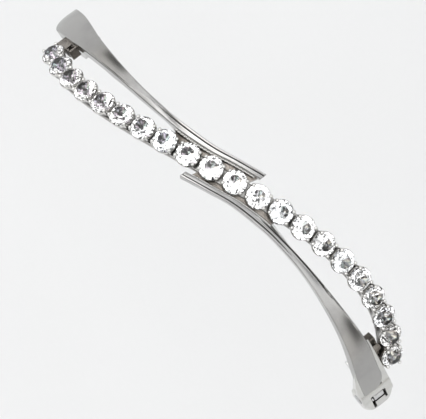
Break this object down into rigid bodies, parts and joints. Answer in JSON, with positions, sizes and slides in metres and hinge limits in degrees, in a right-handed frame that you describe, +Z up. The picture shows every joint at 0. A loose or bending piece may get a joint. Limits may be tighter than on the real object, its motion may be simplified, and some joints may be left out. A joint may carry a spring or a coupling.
{
  "type": "rhinestone hair clip",
  "caption": "Arched openwork hair clip: two plain blades cross a winding row of claw-set clear stones over a hinged lower jaw with a sprung catch.",
  "frame": {"origin": "on the table, under the middle of the closed clip as it stands on its two ends", "axes": "+X runs along the clip towards the hinge, +Y across it, +Z up through the top of the arch"},
  "size_m": [0.0818, 0.02, 0.0289],
  "materials": {
    "polished_plate": "polished silver-coloured plating",
    "bright_plate": "bright silver-coloured plating on the stone settings",
    "dark_recess": "plated casting with darkened recesses",
    "jaw_plate": "polished silver-coloured plating",
    "pin_steel": "drawn steel wire",
    "spring_steel": "spring wire",
    "grip_rubber": "soft matt rubber",
    "crystal": "clear faceted crystal with a silvered back"
  },
  "bodies": {
    "frame": {"left_blade": "polished_plate", "right_blade": "polished_plate", "stone_rail": "bright_plate", "upper_web": "bright_plate", "lower_web": "bright_plate", "left_bridge": "dark_recess", "right_bridge": "dark_recess", "hinge_block": "polished_plate", "hinge_pin": "pin_steel", "jaw_spring": "spring_steel", "catch_housing": "polished_plate", "catch_pin": "pin_steel", "catch_spring": "spring_steel", "claw_cup_01": "bright_plate", "claw_cup_02": "bright_plate", "claw_cup_03": "bright_plate", "claw_cup_04": "bright_plate", "claw_cup_05": "bright_plate", "claw_cup_06": "bright_plate", "claw_cup_07": "bright_plate", "claw_cup_08": "bright_plate", "claw_cup_09": "bright_plate", "claw_cup_10": "bright_plate", "claw_cup_11": "bright_plate", "claw_cup_12": "bright_plate", "claw_cup_13": "bright_plate", "claw_cup_14": "bright_plate", "claw_cup_15": "bright_plate", "claw_cup_16": "bright_plate", "claw_cup_17": "bright_plate", "claw_cup_18": "bright_plate", "claw_cup_19": "bright_plate", "claw_cup_20": "bright_plate", "claw_cup_21": "bright_plate", "stone_01": "crystal", "stone_02": "crystal", "stone_03": "crystal", "stone_04": "crystal", "stone_05": "crystal", "stone_06": "crystal", "stone_07": "crystal", "stone_08": "crystal", "stone_09": "crystal", "stone_10": "crystal", "stone_11": "crystal", "stone_12": "crystal", "stone_13": "crystal", "stone_14": "crystal", "stone_15": "crystal", "stone_16": "crystal", "stone_17": "crystal", "stone_18": "crystal", "stone_19": "crystal", "stone_20": "crystal", "stone_21": "crystal"},
    "jaw": {"lower_jaw": "jaw_plate", "grip_strip": "grip_rubber"},
    "catch": {"catch_lever": "jaw_plate"}
  },
  "joints": [
    {"name": "jaw_hinge", "type": "hinge", "parent": "frame", "child": "jaw", "pos_m": [0.0381, 0.00075, 0.00216], "axis": [0, -1, 0], "range_deg": [0, 75]},
    {"name": "catch_press", "type": "hinge", "parent": "frame", "child": "catch", "pos_m": [-0.03784, -0.001, 0.0026], "axis": [0, -1, 0], "range_deg": [0, 22], "stiffness_Nm_per_rad": 0.01}
  ]
}
